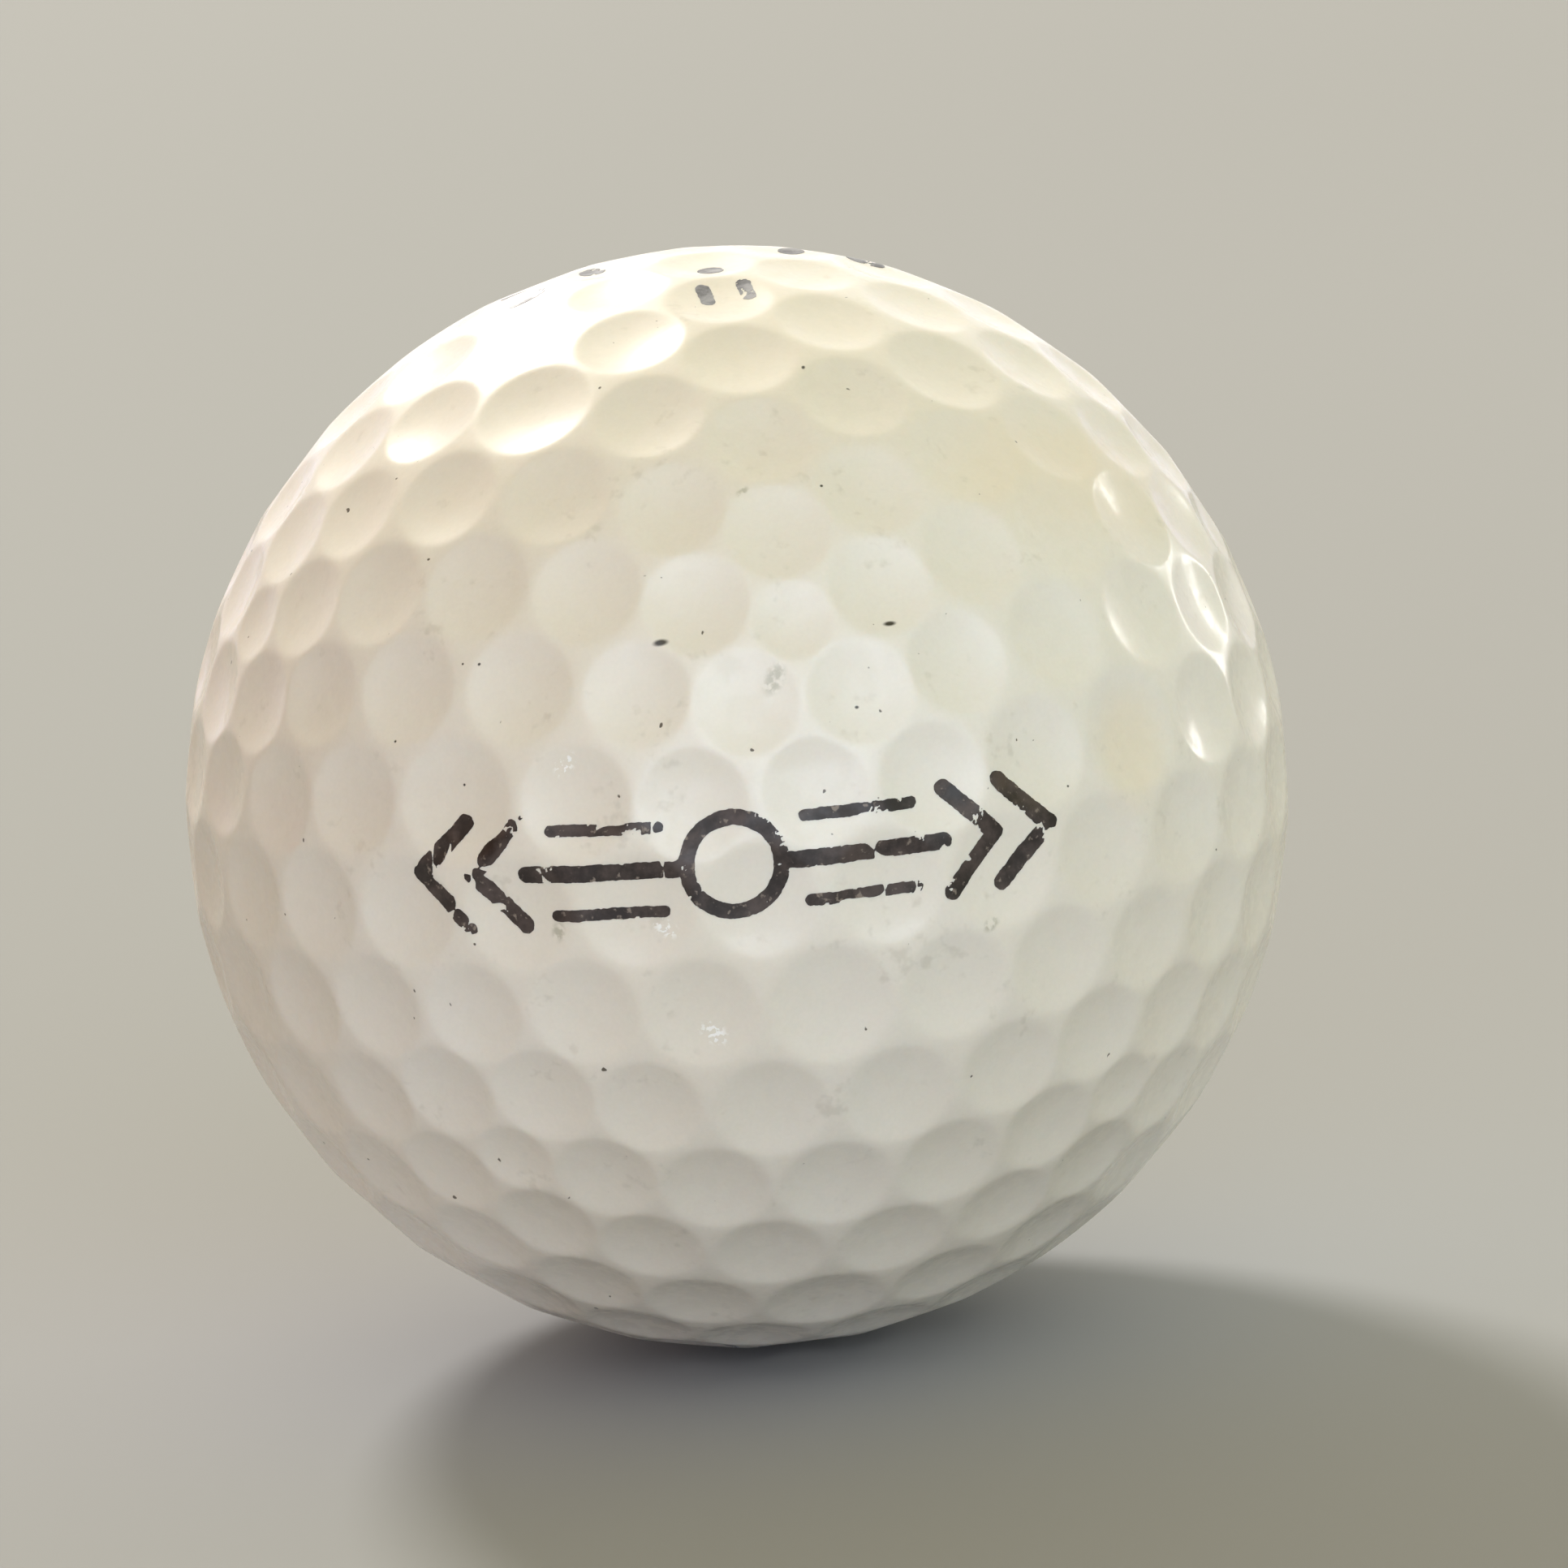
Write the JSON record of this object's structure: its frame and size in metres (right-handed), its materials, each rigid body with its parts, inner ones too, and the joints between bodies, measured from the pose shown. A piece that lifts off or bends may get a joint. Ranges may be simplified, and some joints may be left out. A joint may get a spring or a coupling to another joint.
{
  "type": "golf ball",
  "caption": "Dimpled ball built in layers round a rubber core, with an icosahedral dimple pattern, a printed aiming mark on its side and a small printed mark at each pole.",
  "frame": {"origin": "centre of the ball", "axes": "+Z through the upper pole of the cover's mould, which is also a five-fold axis of the dimple pattern; the aiming mark on the side faces -Y; +X to the right of the mark"},
  "size_m": [0.0426, 0.0426, 0.0426],
  "materials": {
    "core_rubber": "matte moulded polybutadiene rubber",
    "mantle_ionomer": "translucent satin ionomer resin",
    "cover_ivory_gloss": "aged ivory white paint under a worn clear gloss coat",
    "mark_ink": "worn brown-black pad-printed ink"
  },
  "bodies": {
    "root": {"core": "core_rubber", "mantle_front": "mantle_ionomer", "mantle_back": "mantle_ionomer", "cover_upper": "cover_ivory_gloss", "cover_lower": "cover_ivory_gloss", "aim_mark": "mark_ink", "pole_mark_upper": "mark_ink", "pole_mark_lower": "mark_ink"}
  },
  "joints": []
}
